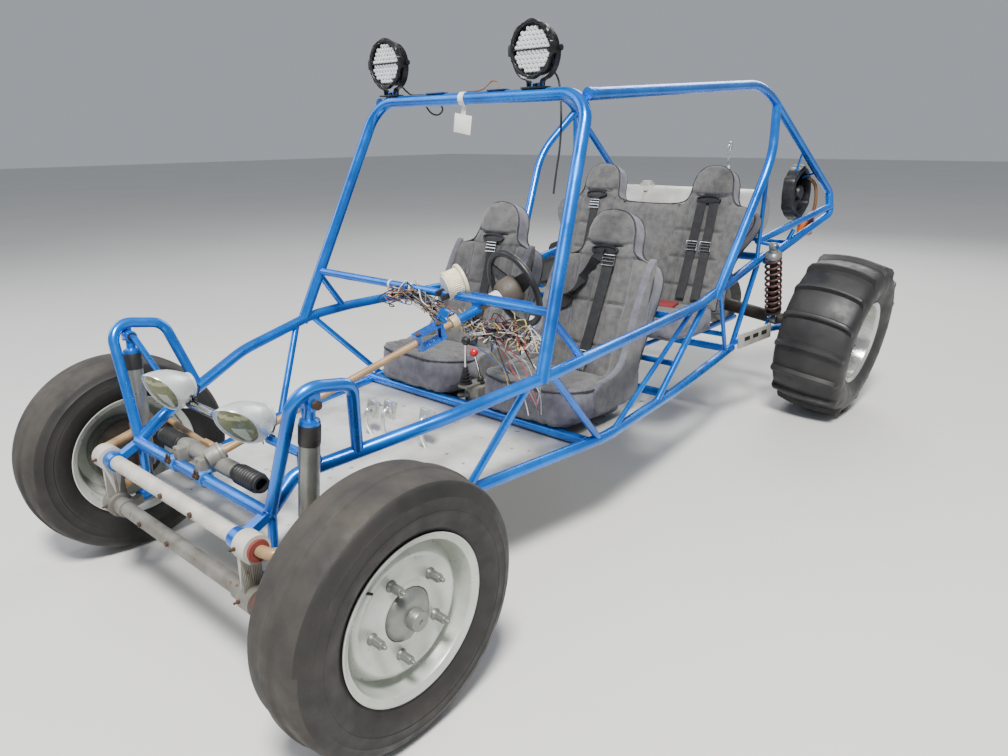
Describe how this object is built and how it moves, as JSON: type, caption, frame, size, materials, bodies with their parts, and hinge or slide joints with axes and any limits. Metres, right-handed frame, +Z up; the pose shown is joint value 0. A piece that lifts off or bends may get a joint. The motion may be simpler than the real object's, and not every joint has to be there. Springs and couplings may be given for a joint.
{
  "type": "four-seat tube-frame sand rail",
  "caption": "Open four-seat off-road buggy: welded tube frame with roll hoop, torsion-beam front, paddle rear tyres, bucket seats, no engine fitted.",
  "frame": {"origin": "on the ground under the middle of the overall box", "axes": "+Z up, the nose points along -Y, +X towards the driver's (left) side"},
  "size_m": [1.9142, 3.6399, 1.7189],
  "materials": {
    "frame_blue": "worn blue gloss paint",
    "beam_grey": "chalky off-white paint with rust spots",
    "bronze": "tan primer and old bronze paint",
    "shock_silver": "satin silver",
    "cast_grey": "bead-blasted casting",
    "dark_metal": "dark greasy iron",
    "rim_silver": "worn silver-grey wheel paint",
    "tyre_black": "worn rubber with tan dust",
    "spring_brown": "dull dark red",
    "black_rubber": "ribbed matt rubber",
    "black_plastic": "grained black",
    "seat_grey": "grey woven cloth, dark piping",
    "tank_white": "brushed pale aluminium",
    "floor_sheet": "scuffed sheet",
    "lamp_chrome": "polished",
    "lamp_silver": "satin light grey",
    "gauge_cream": "cream with dust",
    "canister_amber": "amber plastic",
    "lamp_black": "black powder coat",
    "pedal_silver": "cast"
  },
  "bodies": {
    "chassis": {"upper_rails": "frame_blue", "lower_rails": "frame_blue", "front_hoop": "frame_blue", "roof_rails": "frame_blue", "rear_uprights": "frame_blue", "cross_tubes": "frame_blue", "side_braces": "frame_blue", "tail_tubes": "frame_blue", "shock_hoops": "frame_blue", "bench_frame": "frame_blue", "transaxle_horns": "frame_blue", "beam_clamps": "frame_blue", "column_tube": "frame_blue", "floor_pan": "floor_sheet", "front_beam": "beam_grey", "trailing_arms": "bronze", "front_shocks": "shock_silver", "rack_housing": "cast_grey", "rack_bellows": "black_rubber", "seat_backs": "seat_grey", "seat_cushions": "seat_grey", "bench_back": "seat_grey", "bench_cushion": "seat_grey", "fuel_tank": "tank_white", "transaxle": "cast_grey", "swing_axles": "dark_metal", "rear_arms": "frame_blue", "coil_overs": "spring_brown", "lamp_bar": "frame_blue", "headlamps": "lamp_silver", "roof_lamps": "lamp_black", "shifter": "cast_grey", "pedals": "pedal_silver", "dash_panel": "frame_blue", "gauge": "gauge_cream", "cooling_fan": "lamp_black", "canister": "canister_amber", "lamp_lead": "black_rubber"},
    "knuckle_left": {"knuckle_left": "bronze"},
    "knuckle_right": {"knuckle_right": "bronze"},
    "wheel_front_left": {"tyre_front_left": "tyre_black", "rim_front_left": "rim_silver", "hub_front_left": "dark_metal"},
    "wheel_front_right": {"tyre_front_right": "tyre_black", "rim_front_right": "rim_silver", "hub_front_right": "dark_metal"},
    "wheel_rear_left": {"tyre_rear_left": "tyre_black", "rim_rear_left": "lamp_chrome", "hub_rear_left": "dark_metal"},
    "wheel_rear_right": {"tyre_rear_right": "tyre_black", "rim_rear_right": "lamp_chrome", "hub_rear_right": "dark_metal"},
    "tie_rod": {"tie_rod": "bronze"},
    "steering": {"steering_shaft": "bronze", "steering_wheel": "black_plastic"}
  },
  "joints": [
    {"name": "steer_left", "type": "hinge", "parent": "chassis", "child": "knuckle_left", "pos_m": [0.585, -1.48, 0.34], "axis": [0, 0, 1], "range_deg": [-25, 25]},
    {"name": "steer_right", "type": "hinge", "parent": "chassis", "child": "knuckle_right", "pos_m": [-0.585, -1.48, 0.34], "axis": [0, 0, 1], "range_deg": [-25, 25]},
    {"name": "tie_slide", "type": "slide", "parent": "chassis", "child": "tie_rod", "axis": [1, 0, 0], "range_m": [-0.038, 0.038]},
    {"name": "steering_turn", "type": "hinge", "parent": "chassis", "child": "steering", "pos_m": [0.062, -1.51, 0.562], "axis": [0.2301, 0.9204, 0.3161], "range_deg": [-271, 271]},
    {"name": "roll_front_left", "type": "hinge", "parent": "knuckle_left", "child": "wheel_front_left", "pos_m": [0.703, -1.48, 0.34023], "axis": [0.9998, 0, -0.0175], "continuous": true},
    {"name": "roll_front_right", "type": "hinge", "parent": "knuckle_right", "child": "wheel_front_right", "pos_m": [-0.703, -1.48, 0.34023], "axis": [0.9998, 0, 0.0175], "continuous": true},
    {"name": "roll_rear_left", "type": "hinge", "parent": "chassis", "child": "wheel_rear_left", "pos_m": [0.75, 1.42, 0.40188], "axis": [0.9914, 0, -0.1305], "continuous": true},
    {"name": "roll_rear_right", "type": "hinge", "parent": "chassis", "child": "wheel_rear_right", "pos_m": [-0.75, 1.42, 0.40188], "axis": [0.9914, 0, 0.1305], "continuous": true}
  ],
  "couplings": [
    {"joint": "tie_slide", "follows": "steer_right", "m_per_rad": -0.086},
    {"joint": "steering_turn", "follows": "steer_right", "ratio": 10.8}
  ]
}
